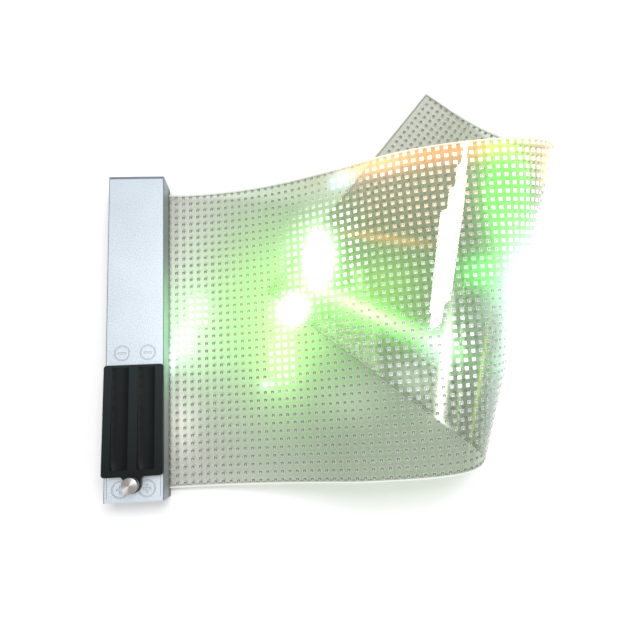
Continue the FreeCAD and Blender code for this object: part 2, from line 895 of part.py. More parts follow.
os.makedirs("parts", exist_ok=True)
save("housing", housing())
save("far_end_plate", far_end_plate())
save("battery_end_block", battery_end_block())
save("end_screws", end_screws())
save("battery_cover", battery_cover())
save("thumbscrew", thumbscrew())
save("threaded_insert", threaded_insert())
save("battery_tray", battery_tray())
save("battery_cell_1", battery_cell(-cell_x))
save("battery_cell_2", battery_cell(cell_x))
save("positive_contact", positive_contact())
save("negative_contact", negative_contact())
save("led_film", led_film())
save("led_packages", led_packages())
save("film_clamp_bar", film_clamp_bar())
save("slot_seal_upper", slot_seal(1))
save("slot_seal_lower", slot_seal(-1))
save("driver_board", driver_board())
save("film_connectors", film_connectors())
save("driver_chips", driver_chips())
save("control_chip", control_chip())
save("radio_module", radio_module())
save("power_inductor", power_inductor())
save("capacitors", capacitors())
save("battery_terminals", battery_terminals())
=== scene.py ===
"""Finishes, light and camera for a clear LED film display held by a slim silver bar.

Lengths are in millimetres, and metre() takes them to Blender's metres, except where a comment
says metres. The bar lies along Y, and the film leaves its right wall towards +X, rises, curls
over and comes back under itself. A place on the film is u along it from the bar's wall and v
across it from its middle.
"""

import math

import bpy
import numpy as np
from mathutils import Matrix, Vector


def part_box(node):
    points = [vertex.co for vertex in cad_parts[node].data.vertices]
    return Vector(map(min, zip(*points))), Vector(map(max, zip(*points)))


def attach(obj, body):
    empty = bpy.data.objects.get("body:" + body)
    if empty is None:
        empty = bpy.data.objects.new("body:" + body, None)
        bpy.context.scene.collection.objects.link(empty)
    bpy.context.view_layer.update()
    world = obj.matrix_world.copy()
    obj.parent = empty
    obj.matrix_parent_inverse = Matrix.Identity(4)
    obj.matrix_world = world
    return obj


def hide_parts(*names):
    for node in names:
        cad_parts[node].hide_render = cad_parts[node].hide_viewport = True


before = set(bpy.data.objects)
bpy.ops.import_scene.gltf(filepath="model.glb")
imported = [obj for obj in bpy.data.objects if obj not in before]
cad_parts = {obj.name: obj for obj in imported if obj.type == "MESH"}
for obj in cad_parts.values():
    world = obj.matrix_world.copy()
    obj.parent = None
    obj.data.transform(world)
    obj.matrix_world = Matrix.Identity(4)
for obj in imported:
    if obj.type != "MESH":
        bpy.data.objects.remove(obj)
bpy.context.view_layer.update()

# Film, as the bar holds it
BAR_HALF = 22.5
FILM_HEIGHT = 5.5
FILM_HALF_WIDTH = 125.0
FILM_THICKNESS = 0.8
FILM_START = -18.2
FILM_END = 514.04
FILM_GRID = (268, 51)

# Film, as it bends: a rise, then bends by middle, length and turn in degrees, the slant of the
# bend lines in degrees at a few places, the rounds in which a place is found, and the turn
# below which a step counts as straight
RISE_LENGTH = 220.0
RISE_TURN = 38.8
BENDS = ((182, 64, -24), (300, 216, -75), (326, 166, -102))
SLANT_PLACES = (0, 130, 200, 320, 420)
SLANTS = (90, 90, 73.5, 71.5, 52)
LAST_BEND = 409.0
PLACE_ROUNDS = 60
STRAIGHT = 1e-12

# Light-emitting diodes on the film: pitch and count, then a package's collar, body and lens by
# half sizes or sides along and across the film and by low and high off its middle surface. The
# body's notch is a half width and the place where it ends, and its top keeps a share of the size.
LED_PITCH = 6.25
LED_ROWS = 40
LED_COLUMNS = 82
COLLAR_HALF, COLLAR_WIDTH = (1.40, 1.30), 0.30
COLLAR_HEIGHTS = (0.40, 0.62)
BODY_HALF, BODY_DRAW = (1.15, 1.05), 0.94
BODY_NOTCH = (0.50, 0.30)
BODY_HEIGHTS = (0.45, 0.90)
LENS_SIDES, LENS_TAPER = (-0.50, 0.50, -0.98, 0.30), 0.03
LENS_HEIGHTS = (0.45, 0.80)

# Film's dark line in from its edges, and what is round a package: a pale ring as a share of
# the pitch, and how far (u, v) its shadow's middle lies from its own
LINE_INSET = 2.2
RING_REACH = 0.34
SHADOW_SHIFT = (0.9, 1.1)

# Middle of either cell across the bar, which the cover's flutes and the marks keep to
CELL_MIDDLE = 10.0

# Cover's flutes, where shade is painted: half width, and their two ends along the bar, each
# from its edge inwards
FLUTE_HALF = (6.8, 6.1)
FLUTE_START = (-108.2, -107.0)
FLUTE_STOP = (-28.8, -30.2)

# Engraved marks: the two rows of marks along the bar with the radius of their outer rings, and
# the sizes of a ring pair, a line and a sign
MINUS_ROW, MINUS_RADIUS = -17.7, 6.1
PLUS_ROW, PLUS_RADIUS = -122.0, 6.5
RING_STEP = 0.85
RING_CORNERS = 72
LINE_WIDTH = 0.24
LINE_DEPTH, LINE_RISE = 0.05, 0.02
SIGN_LONG, SIGN_WIDE = 2.9, 0.6

# Thumbscrew
KNOB_HEAD = 8.0
SHANK_RADIUS = 2.0
KNURL_RIDGES = 36
KNURL_DEPTH = 0.15

# Edges: those that turn by more degrees are crisp on the new pieces and rounded on the cover,
# then the cover's rounding, and the reach within which its loose triangles are joined
EDGE_TURN = 40
KNURL_TURN = 32
COVER_EDGE = 0.35
WELD_REACH = 0.01

# Fields of light on the film: place (u, v), reach (u, v), lean, colour, glow of the film and
# shine of the packages. Most are the display's own light; two white ones on the returning
# end are a painted reflection of the lamps and a painted glint on its edge.
LIGHT_FIELDS = (
    ((18, 2), (24, 30), -0.3, (0.50, 1.00, 0.50), 0.18, 0.0),
    ((11, -8), (12, 15), 0.0, (0.85, 1.00, 0.96), 0.09, 0.0),
    ((1, -20), (3.5, 9), 0.0, (0.75, 1.00, 0.98), 0.60, 0.0),
    ((26, 20), (11, 18), 0.0, (0.90, 1.00, 0.90), 0.0, 0.9),
    ((12, 18), (14, 24), 0.0, (0.70, 1.00, 0.80), 0.0, 0.40),
    ((12, -10), (12, 20), 0.0, (0.85, 1.00, 0.95), 0.0, 0.75),
    ((134, 53), (10, 17), 0.0, (0.66, 1.00, 0.68), 3.4, 0.0),
    ((109, 13), (9.5, 8.5), 0.0, (0.70, 1.00, 0.76), 3.4, 0.0),
    ((126, 40), (26, 32), 0.3, (0.48, 1.00, 0.36), 0.40, 0.0),
    ((138, 60), (36, 44), 0.0, (0.92, 1.00, 0.90), 0.0, 1.0),
    ((104, 12), (17, 16), 0.0, (0.92, 1.00, 0.92), 0.0, 1.0),
    ((98, -28), (13, 24), 0.0, (0.95, 1.00, 0.88), 0.0, 1.0),
    ((82, -47), (6, 3), 0.0, (0.80, 1.00, 1.00), 0.30, 1.0),
    ((97, -22), (20, 34), 0.0, (0.62, 1.00, 0.36), 0.26, 0.0),
    ((94, 16), (64, 70), 0.0, (0.40, 1.00, 0.24), 0.25, 0.0),
    ((100, 20), (62, 62), 0.0, (0.85, 1.00, 0.35), 0.0, 0.34),
    ((186, 18), (36, 32), 0.0, (0.45, 1.00, 0.12), 0.19, 0.0),
    ((192, 24), (46, 30), 0.0, (0.45, 1.00, 0.30), 0.0, 0.36),
    ((190, 119), (24, 8), 0.0, (1.00, 0.62, 0.32), 0.42, 0.0),
    ((238, 119), (60, 10), 0.0, (1.00, 0.40, 0.12), 0.46, 0.0),
    ((246, 117), (100, 12), 0.0, (1.00, 0.80, 0.52), 0.0, 0.80),
    ((212, 88), (58, 32), 0.0, (1.00, 0.60, 0.16), 0.03, 0.55),
    ((335, 108), (22, 18), 0.0, (1.00, 0.72, 0.38), 0.30, 0.7),
    ((288, 76), (19, 46), 0.0, (0.12, 1.00, 0.04), 0.66, 0.0),
    ((300, 72), (32, 50), 0.0, (0.90, 1.00, 0.85), 0.0, 1.0),
    ((262, 24), (16, 13), 0.0, (0.14, 1.00, 0.14), 0.40, 0.9),
    ((299, -2), (21, 46), 0.0, (0.84, 1.00, 1.00), 0.80, 1.0),
    ((276, -70), (20, 40), 0.0, (0.45, 0.60, 0.75), 0.10, 0.0),
    ((158, 114), (12, 8), 0.0, (0.50, 0.74, 1.00), 0.34, 1.0),
    ((430, -84), (56, 6), -0.21, (0.56, 1.00, 0.54), 1.90, 0.0),
    ((425, -84), (72, 12), -0.21, (0.18, 1.00, 0.04), 0.42, 0.0),
    ((366, -72), (15, 13), 0.0, (0.80, 1.00, 1.00), 0.90, 0.0),
    # painted reflection of the lamps on the returning end, given as glow
    ((347, -91), (24, 7), 1.81, (1.00, 1.00, 1.00), 2.40, 0.0),
    # painted glint on the returning end's edge, given as glow
    ((325, -124), (9, 1.3), 0.0, (1.00, 1.00, 1.00), 1.60, 0.0),
    ((366, -110), (21, 12), 0.0, (0.97, 1.00, 1.00), 0.26, 0.0),
    ((206, -48), (22, 20), 0.0, (0.85, 0.95, 1.00), 0.0, 0.32),
    ((152, -64), (26, 18), 0.0, (0.96, 1.00, 0.94), 0.07, 0.0),
    ((240, -36), (15, 32), 0.0, (0.95, 1.00, 0.98), 0.0, 0.9),
    ((10, 40), (26, 70), 0.0, (1.00, 1.00, 0.97), 0.07, 0.0),
    ((11, -74), (11, 26), 0.0, (1.00, 0.99, 0.92), 0.11, 0.0),
    ((348, 20), (12, 44), 0.0, (0.55, 1.00, 0.78), 0.45, 0.5),
    ((254, -58), (10, 6), 4.1, (0.70, 0.95, 0.12), 0.28, 0.0),
    ((455, -18), (36, 4), -0.556, (1.00, 0.42, 0.14), 0.42, 0.6),
)

# How the light is painted into the colour of what it is in, as a painted tint: its depth, and
# the light at which it is full. The least light is there to divide by.
FILM_LIGHT_TINT = (0.36, 0.6)
PACKAGE_LIGHT_TINT = (0.75, 0.4)
LEAST_LIGHT = 1e-6

# Patch of the film that lies over its own returning end: two slanting lines, each a place
# (u, v) and its slope, v over u, the place along the film where it ends, and their soft widths
# The packages in this patch get a painted highlight.
PATCH_LOW_LINE = ((121, 1), -0.86)
PATCH_HIGH_LINE = ((150, 84), 0.97)
PATCH_SOFTNESS = 8
PATCH_END = 335
PATCH_FADE = 25


def metre(value):
    """Millimetres to metres."""
    return value * 0.001


def metres_to_mm(value):
    """Metres to millimetres."""
    return value * 1000


# How the film bends

def bend_rate(s):
    """Turn per millimetre along the film's middle line: a rise that eases out as a parabola,
    1.5(1-x^2), plus three bends, each a bell 6x(1-x), with x the share of its own length."""
    share = np.minimum(s / RISE_LENGTH, 1.0)
    rate = np.radians(RISE_TURN) / RISE_LENGTH * 1.5 * (1 - share ** 2)
    for middle, length, turn in BENDS:
        x = np.clip((s - middle) / length + 0.5, 0, 1)
        rate = rate + np.radians(turn) / length * 6 * x * (1 - x)
    return rate


def bend_cotangent(s):
    """Cotangent of the angle between the long edge and the straight line that the film bends
    about at s. The angle runs straight between a few places."""
    return 1 / np.tan(np.radians(np.interp(s, SLANT_PLACES, SLANTS)))


def middle_line():
    """The film's middle line, one step a millimetre. Its three directions turn together about
    the line that the film bends about there, by the bend rate, and each step goes half along
    the old direction and half along the new one."""
    middles = np.arange(0.0, LAST_BEND) + 0.5
    rates = bend_rate(middles)
    twists = -rates * bend_cotangent(middles)
    point = np.array([BAR_HALF, 0.0, FILM_HEIGHT])
    axes = np.eye(3)
    rows = [np.vstack([point, axes])]
    for rate, twist in zip(rates, twists):
        spin = twist * axes[0] - rate * axes[1]
        angle = float(np.linalg.norm(spin))
        before = axes[0]
        if angle > STRAIGHT:
            axes = axes @ np.array(Matrix.Rotation(angle, 3, spin / angle)).T
        point = point + (before + axes[0]) / 2
        rows.append(np.vstack([point, axes]))
    return np.array(rows)


LINE_ROWS = middle_line()


def on_film(u, v, height=0.0):
    """The film's point at u along and v across, that height above its middle surface, with the
    directions along it, across it and off it. The straight line through the point meets the
    middle line at s = u - v cot(angle at s), found by repeating that sum. The point lies on
    that line's flat strip, at u - s along it and v across it."""
    u, v = np.broadcast_arrays(np.asarray(u, float), np.asarray(v, float))
    s = np.clip(u, 0, LAST_BEND)
    for _ in range(PLACE_ROUNDS):
        s = np.clip(u - v * bend_cotangent(s), 0, LAST_BEND)
    flat = LINE_ROWS.reshape(-1, 12)
    low = np.minimum(s.astype(int), len(LINE_ROWS) - 2)
    share = (s - low)[..., None]
    found = (flat[low] * (1 - share) + flat[low + 1] * share).reshape(s.shape + (4, 3))
    axes = found[..., 1:, :]
    axes = axes / np.linalg.norm(axes, axis=-1, keepdims=True)
    along, across, off = axes[..., 0, :], axes[..., 1, :], axes[..., 2, :]
    point = found[..., 0, :] + (u - s)[..., None] * along + v[..., None] * across
    return point + np.asarray(height, float)[..., None] * off, along, across, off


# Light in the film

def field_spots(u, v):
    """Each field in turn at a place on the film: its squared distance d from the field's middle
    in the field's own reaches, leaning along u by its lean, and its colour, glow and shine."""
    for (mu, mv), (ru, rv), lean, colour, glow, shine in LIGHT_FIELDS:
        du = np.asarray(u, float) - mu
        dv = np.asarray(v, float) - mv - lean * du
        yield ((du / ru) ** 2 + (dv / rv) ** 2)[..., None], np.array(colour), glow, shine


def film_glow(u, v):
    """The light that spreads in the film, a painted reflection and a painted glint among its
    spots: the sum of soft spots, colour times glow times exp(-d)."""
    return sum(glow * np.exp(-d) * colour for d, colour, glow, _ in field_spots(u, v))


def light_tint_of(light, depth, full):
    """White turned towards the light's own hue: 1 - depth min(peak / full, 1) (1 - light /
    peak), where peak is the light's strongest part."""
    peak = np.maximum(light.max(axis=-1, keepdims=True), LEAST_LIGHT)
    return 1 - depth * np.minimum(peak / full, 1) * (1 - light / peak)


def film_light_tint(u, v):
    """Painted tint of the light over what is seen through the film."""
    return light_tint_of(film_glow(u, v), *FILM_LIGHT_TINT)


def returning_patch(u, v):
    """One where the film lies over its own returning end, between two slanting lines, and a
    fall to zero at its borders."""
    (low_u, low_v), low_slope = PATCH_LOW_LINE
    (high_u, high_v), high_slope = PATCH_HIGH_LINE
    above = np.clip((v - low_v - low_slope * (u - low_u)) / PATCH_SOFTNESS, 0, 1)
    below = np.clip((high_v + high_slope * (u - high_u) - v) / PATCH_SOFTNESS, 0, 1)
    return above * below * np.clip((PATCH_END - u) / PATCH_FADE, 0, 1)


def package_light(u, v):
    """The light of the packages: 0.8 times a sum of flat-topped spots, colour times shine
    times exp(-d^2), with 0.8 of the cube of its strongest part as white, 0.3 of the film's
    glow, and a pale painted highlight of 0.24 where the film lies over its returning end."""
    shine = sum(shine * np.exp(-d ** 2) * colour for d, colour, _, shine in field_spots(u, v))
    peak = np.minimum(shine.max(axis=-1, keepdims=True), 1)
    # painted highlight on the packages where the film lies over its returning end
    over = returning_patch(u, v)[..., None]
    return 0.8 * shine + 0.8 * peak ** 3 + 0.3 * film_glow(u, v) + 0.24 * over


def package_light_tint(u, v):
    """Painted tint of the light over the packages' own colour."""
    return light_tint_of(package_light(u, v), *PACKAGE_LIGHT_TINT)


# Making meshes

def new_piece(name, points, faces, material, smooth=True):
    """A mesh object from points in millimetres and faces, riding on the display."""
    mesh = bpy.data.meshes.new(name)
    faces = faces.tolist() if isinstance(faces, np.ndarray) else faces
    mesh.from_pydata(metre(np.asarray(points)).tolist(), [], faces)
    mesh.polygons.foreach_set("use_smooth", np.full(len(mesh.polygons), smooth))
    mesh.materials.append(material)
    mesh.update()
    piece = bpy.data.objects.new(name, mesh)
    bpy.context.scene.collection.objects.link(piece)
    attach(piece, "root")
    return piece


def point_values(piece, name, kind, values):
    """Writes one value a vertex into a named attribute of the piece."""
    layer = piece.data.attributes.new(name, kind, "POINT")
    field = "color" if kind == "FLOAT_COLOR" else "vector"
    layer.data.foreach_set(field, np.asarray(values, np.float32).ravel())


def opaque(colours):
    """Colours with a fourth value of one."""
    return np.concatenate([colours, np.ones((len(colours), 1))], -1)


def grid_faces(rows, columns):
    """Four-cornered faces of a grid of points stored row by row."""
    corner = np.arange(rows * columns).reshape(rows, columns)
    quads = (corner[:-1, :-1], corner[1:, :-1], corner[1:, 1:], corner[:-1, 1:])
    return np.stack(quads, -1).reshape(-1, 4)


def band_faces(count):
    """Four-cornered faces of a closed band: a section of four corners, stored section by
    section, and carried round through that many places."""
    corner = np.arange(count * 4).reshape(count, 4)
    after = np.roll(corner, -1, axis=0)
    return np.concatenate([
        np.stack([corner[:, i], after[:, i], after[:, j], corner[:, j]], -1)
        for i, j in ((0, 1), (1, 2), (2, 3), (3, 0))])


def film_sheet(material):
    """The film as a closed slab: a grid over u and v carried half the thickness up and down
    from the bent surface, and a rim of faces that joins the two all round."""
    along, across = FILM_GRID
    u = np.linspace(FILM_START, FILM_END, along)
    v = np.linspace(-FILM_HALF_WIDTH, FILM_HALF_WIDTH, across)
    uu, vv = np.meshgrid(u, v, indexing="ij")
    top = on_film(uu, vv, FILM_THICKNESS / 2)[0].reshape(-1, 3)
    under = on_film(uu, vv, -FILM_THICKNESS / 2)[0].reshape(-1, 3)
    faces = grid_faces(along, across)
    corner = np.arange(uu.size).reshape(uu.shape)
    edge = np.concatenate([corner[:-1, 0], corner[-1, :-1], corner[:0:-1, -1], corner[0, :0:-1]])
    after = np.roll(edge, -1)
    rim = np.stack([edge + uu.size, after + uu.size, after, edge], -1)
    faces = np.concatenate([faces, faces[:, ::-1] + uu.size, rim])
    piece = new_piece("film_sheet", np.concatenate([top, under]), faces, material)
    piece.data.set_sharp_from_angle(angle=math.radians(EDGE_TURN))
    place = np.stack([metre(uu), metre(vv), np.zeros(uu.shape)], -1).reshape(-1, 3)
    point_values(piece, "flat_place", "FLOAT_VECTOR", np.concatenate([place, place]))
    for name, colours in (("glow", film_glow(uu, vv)), ("painted_light_tint", film_light_tint(uu, vv))):
        one_side = opaque(colours.reshape(-1, 3))
        point_values(piece, name, "FLOAT_COLOR", np.concatenate([one_side, one_side]))
    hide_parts("led_film")


def box_shape(a0, a1, b0, b1, low, high, t):
    """Corners and outward faces of a box whose top is drawn in by t on every side."""
    points = [
        (a0, b0, low), (a1, b0, low), (a1, b1, low), (a0, b1, low),
        (a0 + t, b0 + t, high), (a1 - t, b0 + t, high),
        (a1 - t, b1 - t, high), (a0 + t, b1 - t, high),
    ]
    faces = [(0, 3, 2, 1), (4, 5, 6, 7), (0, 1, 5, 4), (1, 2, 6, 5), (2, 3, 7, 6), (3, 0, 4, 7)]
    return np.array(points, float), np.array(faces)


def arch_shape(half_a, half_b, notch, depth, low, high, draw):
    """A block with a notch in its near side, like an upturned U seen from above: the outline's
    eight corners at two heights, the upper ones drawn in to a share, their side walls, and
    three faces on the top and underneath."""
    plan = [
        (-half_a, -half_b), (-notch, -half_b), (-notch, depth), (notch, depth),
        (notch, -half_b), (half_a, -half_b), (half_a, half_b), (-half_a, half_b),
    ]
    points = [(a, b, low) for a, b in plan] + [(a * draw, b * draw, high) for a, b in plan]
    walls = [(i, (i + 1) % 8, (i + 1) % 8 + 8, i + 8) for i in range(8)]
    top = [(8, 9, 10, 15), (10, 11, 14, 15), (11, 12, 13, 14)]
    base = [tuple(i - 8 for i in reversed(face)) for face in top]
    return np.array(points, float), np.array(walls + top + base)


def frame_shape(half_a, half_b, width, low, high):
    """A square frame that wide: outer and inner corners at two heights, and the four-cornered
    section between them carried round."""
    ring = []
    for draw, height in ((0, low), (0, high), (width, high), (width, low)):
        a, b = half_a - draw, half_b - draw
        ring.append([(-a, -b, height), (a, -b, height), (a, b, height), (-a, b, height)])
    points = np.array(ring, float).transpose(1, 0, 2).reshape(-1, 3)
    return points, band_faces(4)


def led_places():
    """Middle of every package on the flat film: rows across it, half a pitch in from the
    edges, and columns along it, the first one at the bar's wall."""
    v = FILM_HALF_WIDTH - LED_PITCH / 2 - LED_PITCH * np.arange(LED_ROWS)
    u = LED_PITCH * np.arange(LED_COLUMNS)
    uu, vv = np.meshgrid(u, v, indexing="ij")
    return uu.ravel(), vv.ravel()


def led_pieces(name, shape, material):
    """The same small shape at every package's place. A corner (a, b, c) of the shape goes a
    along the film, b across it and c off its middle surface from the package's middle."""
    points, faces = shape
    u, v = led_places()
    middle, along, across, off = on_film(u, v)
    spread = (
        middle[:, None, :]
        + points[None, :, 0, None] * along[:, None, :]
        + points[None, :, 1, None] * across[:, None, :]
        + points[None, :, 2, None] * off[:, None, :]
    )
    count = len(points)
    every = faces[None, :, :] + (np.arange(len(u)) * count)[:, None, None]
    piece = new_piece(name, spread.reshape(-1, 3), every.reshape(-1, 4), material, smooth=False)
    for value, colours in (("light", package_light(u, v)), ("painted_light_tint", package_light_tint(u, v))):
        point_values(piece, value, "FLOAT_COLOR", np.repeat(opaque(colours), count, axis=0))
    return piece


def closed_band(path, width, low, high):
    """A flat band along a closed path: each corner is moved half the width to either side,
    along the line that halves the corner, and the four-cornered section is carried round."""
    path = np.asarray(path, float)
    ahead = np.roll(path, -1, axis=0) - path
    ahead = ahead / np.linalg.norm(ahead, axis=1, keepdims=True)
    behind = np.roll(ahead, 1, axis=0)
    side = np.stack([-ahead[:, 1], ahead[:, 0]], -1)
    halving = side + np.stack([-behind[:, 1], behind[:, 0]], -1)
    halving = halving / np.linalg.norm(halving, axis=1, keepdims=True)
    reach = width / 2 / np.sum(halving * side, axis=1, keepdims=True)
    inner, outer = path + halving * reach, path - halving * reach
    count = len(path)
    ring = [np.column_stack([edge, np.full(count, z)]) for edge, z in (
        (inner, low), (outer, low), (outer, high), (inner, high))]
    return np.stack(ring, 1).reshape(-1, 3), band_faces(count)


def circle(x, y, radius):
    """Points evenly round a circle."""
    turn = np.linspace(0, 2 * np.pi, RING_CORNERS, endpoint=False)
    return np.column_stack([x + radius * np.cos(turn), y + radius * np.sin(turn)])


def joined(shapes):
    """Several (points, faces) as one."""
    points, faces, base = [], [], 0
    for some, their in shapes:
        points.append(some)
        faces.append(their + base)
        base += len(some)
    return np.concatenate(points), np.concatenate(faces)


def polarity_marks(material):
    """Engraved marks for the cells' poles: two rings round a minus at the far end of the bay,
    and round a plus at the near end, all in thin lines."""
    face = metres_to_mm(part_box("housing")[1].z)
    low, high = face - LINE_DEPTH, face + LINE_RISE
    long, wide = SIGN_LONG, SIGN_WIDE
    minus = np.array([(-long, -wide), (long, -wide), (long, wide), (-long, wide)])
    quarter = np.array([(wide, wide), (wide, long), (-wide, long)])
    turns = [np.array([[np.cos(a), np.sin(a)], [-np.sin(a), np.cos(a)]])
             for a in np.arange(4) * np.pi / 2]
    plus = np.concatenate([quarter @ turn for turn in turns])
    shapes = []
    for x in (-CELL_MIDDLE, CELL_MIDDLE):
        for y, radius in ((MINUS_ROW, MINUS_RADIUS), (PLUS_ROW, PLUS_RADIUS)):
            for r in (radius, radius - RING_STEP):
                shapes.append(closed_band(circle(x, y, r), LINE_WIDTH, low, high))
        shapes.append(closed_band(minus + (x, MINUS_ROW), LINE_WIDTH, low, high))
        shapes.append(closed_band(plus + (x, PLUS_ROW), LINE_WIDTH, low, high))
    points, faces = joined(shapes)
    piece = new_piece("polarity_marks", points, faces, material, smooth=False)


def knurled_knob(material):
    """The thumbscrew as a profile of radii and heights turned about its axis. Between its two
    plain bands the rim is cut into ridges, where the radius is less by KNURL_DEPTH times
    (1 - cos(KNURL_RIDGES turn)), and the cut fades in over the first and last step."""
    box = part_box("thumbscrew")
    (x0, y0, low), (x1, _, high) = [tuple(metres_to_mm(c) for c in corner) for corner in box]
    radius, under = (x1 - x0) / 2, high - KNOB_HEAD
    profile = np.array([
        (radius - 0.6, high, 0), (radius - 0.2, high - 0.1, 0), (radius, high - 0.4, 0),
        (radius, high - 1.2, 0), (radius, high - 1.5, 1), (radius, under + 1.5, 1),
        (radius, under + 1.2, 0), (radius, under + 0.4, 0), (radius - 0.4, under, 0),
        (SHANK_RADIUS, under, 0), (SHANK_RADIUS, low, 0),
    ])
    turn = np.linspace(0, 2 * np.pi, 8 * KNURL_RIDGES, endpoint=False)
    cut = profile[:, 2, None] * KNURL_DEPTH * (1 - np.cos(KNURL_RIDGES * turn))
    reach = profile[:, 0, None] - cut
    points = np.stack([
        (x0 + x1) / 2 + reach * np.cos(turn), y0 + radius + reach * np.sin(turn),
        np.broadcast_to(profile[:, 1, None], reach.shape)], -1).reshape(-1, 3)
    corner = np.arange(len(points)).reshape(reach.shape)
    after = np.roll(corner, -1, axis=1)
    walls = np.stack([corner[:-1], corner[1:], after[1:], after[:-1]], -1).reshape(-1, 4).tolist()
    faces = walls + [corner[0].tolist(), corner[-1, ::-1].tolist()]
    piece = new_piece("knurled_knob", points, faces, material)
    piece.data.set_sharp_from_angle(angle=math.radians(KNURL_TURN))
    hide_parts("thumbscrew")
    return piece


# Making materials, with places and heights in metres

def colour_socket(sockets, name):
    """The colour socket of that name on a node that also has number and vector ones."""
    return [s for s in sockets if s.name == name and s.type == "RGBA"][0]


class Finish:
    """A material under construction: add() puts in a node and sets or links its inputs."""

    def __init__(self, name):
        self.material = bpy.data.materials.new(name)
        self.material.use_nodes = True
        self.tree = self.material.node_tree
        self.tree.nodes.clear()
        self.out = self.tree.nodes.new("ShaderNodeOutputMaterial")

    def feed(self, socket, value):
        """Links a node's output to an input, or sets the input to a value."""
        if isinstance(value, bpy.types.NodeSocket):
            self.tree.links.new(value, socket)
        else:
            socket.default_value = value

    def add(self, kind, inputs=None, **settings):
        node = self.tree.nodes.new("ShaderNode" + kind)
        for name, value in settings.items():
            setattr(node, name, value)
        for name, value in (inputs or {}).items():
            self.feed(node.inputs[name], value)
        return node

    def math(self, operation, *values):
        return self.add("Math", dict(enumerate(values)), operation=operation).outputs[0]

    def plus(self, first, second):
        return self.math("ADD", first, second)

    def less(self, first, second):
        return self.math("SUBTRACT", first, second)

    def times(self, first, second):
        return self.math("MULTIPLY", first, second)

    def magnitude(self, value):
        return self.math("ABSOLUTE", value)

    def apart(self, value, place):
        """How far a value lies from a place, either way."""
        return self.magnitude(self.less(value, place))

    def ramp(self, value, low, high):
        """A smooth 0 to 1 as value goes from low to high."""
        inputs = {"Value": value, "From Min": low, "From Max": high}
        return self.add("MapRange", inputs, interpolation_type="SMOOTHSTEP").outputs[0]

    def span(self, share, low, high):
        """A value that runs straight from low to high with share."""
        return self.add("MapRange", {"Value": share, "To Min": low, "To Max": high}).outputs[0]

    def between(self, share, first, second):
        """A colour between two colours by share."""
        node = self.add("Mix", {"Factor": share}, data_type="RGBA")
        for name, colour in (("A", first), ("B", second)):
            if not isinstance(colour, bpy.types.NodeSocket):
                colour = tuple(colour) + (1.0,)
            self.feed(colour_socket(node.inputs, name), colour)
        return colour_socket(node.outputs, "Result")

    def multiplied(self, first, second):
        """Two colours multiplied."""
        node = self.add("Mix", {"Factor": 1.0}, data_type="RGBA", blend_type="MULTIPLY")
        for name, colour in (("A", first), ("B", second)):
            self.feed(colour_socket(node.inputs, name), colour)
        return colour_socket(node.outputs, "Result")

    def place(self):
        """The place on the piece, in its own coordinates."""
        return self.add("TexCoord").outputs["Object"]

    def parts(self, vector):
        """X, Y and Z of a vector."""
        return self.add("SeparateXYZ", {"Vector": vector}).outputs

    def facing(self, axis):
        """The surface normal's part along an axis."""
        return self.parts(self.add("NewGeometry").outputs["Normal"])[axis]

    def point_colour(self, name):
        """A colour kept at the mesh's points."""
        return self.add("Attribute", attribute_name=name).outputs["Color"]

    def noise(self, grain, detail=3.0):
        """Noise on the piece's own coordinates, grain spots a metre."""
        inputs = {"Vector": self.place(), "Scale": grain, "Detail": detail}
        return self.add("TexNoise", inputs).outputs["Fac"]

    def relief(self, height, strength):
        """A normal leant by the slope of a height, where 1 is a millimetre."""
        inputs = {"Height": height, "Strength": strength, "Distance": metre(1)}
        return self.add("Bump", inputs).outputs[0]

    def done(self, shader):
        self.material.cycles.emission_sampling = "NONE"
        self.tree.links.new(shader.outputs[0], self.out.inputs["Surface"])
        return self.material


def plain_finish(name, colour, spread, rough, grain, bump=0.02, metallic=0.0):
    """A finish whose colour moves by spread either way with a fine noise and 0.3 of a broad
    one. Its height follows the fine noise, and its roughness the broad one, by 0.06."""
    f = Finish(name)
    fine = f.noise(grain)
    broad = f.noise(grain / 9, 2.0)
    dark = [c * (1 - spread) for c in colour]
    light = [min(1.0, c * (1 + spread)) for c in colour]
    mixed = f.plus(f.times(fine, 0.7), f.times(broad, 0.3))
    return f.done(f.add("BsdfPrincipled", {
        "Base Color": f.between(f.ramp(mixed, 0.3, 0.7), dark, light),
        "Roughness": f.span(broad, rough - 0.06, rough + 0.06),
        "Metallic": metallic, "Normal": f.relief(fine, bump)}))


def from_lattice(f, u, v, shift_u, shift_v):
    """How far a place on the film lies from the nearest package's middle, moved by a shift in
    millimetres: the root of the squares along and across, in pitches."""
    pitch = metre(LED_PITCH)
    along = f.less(u, metre(shift_u))
    across = f.less(v, metre(shift_v) + pitch / 2)
    squares = [f.math("POWER", f.math("PINGPONG", f.math("DIVIDE", way, pitch), 0.5), 2.0)
               for way in (along, across)]
    return f.math("SQRT", f.plus(*squares))


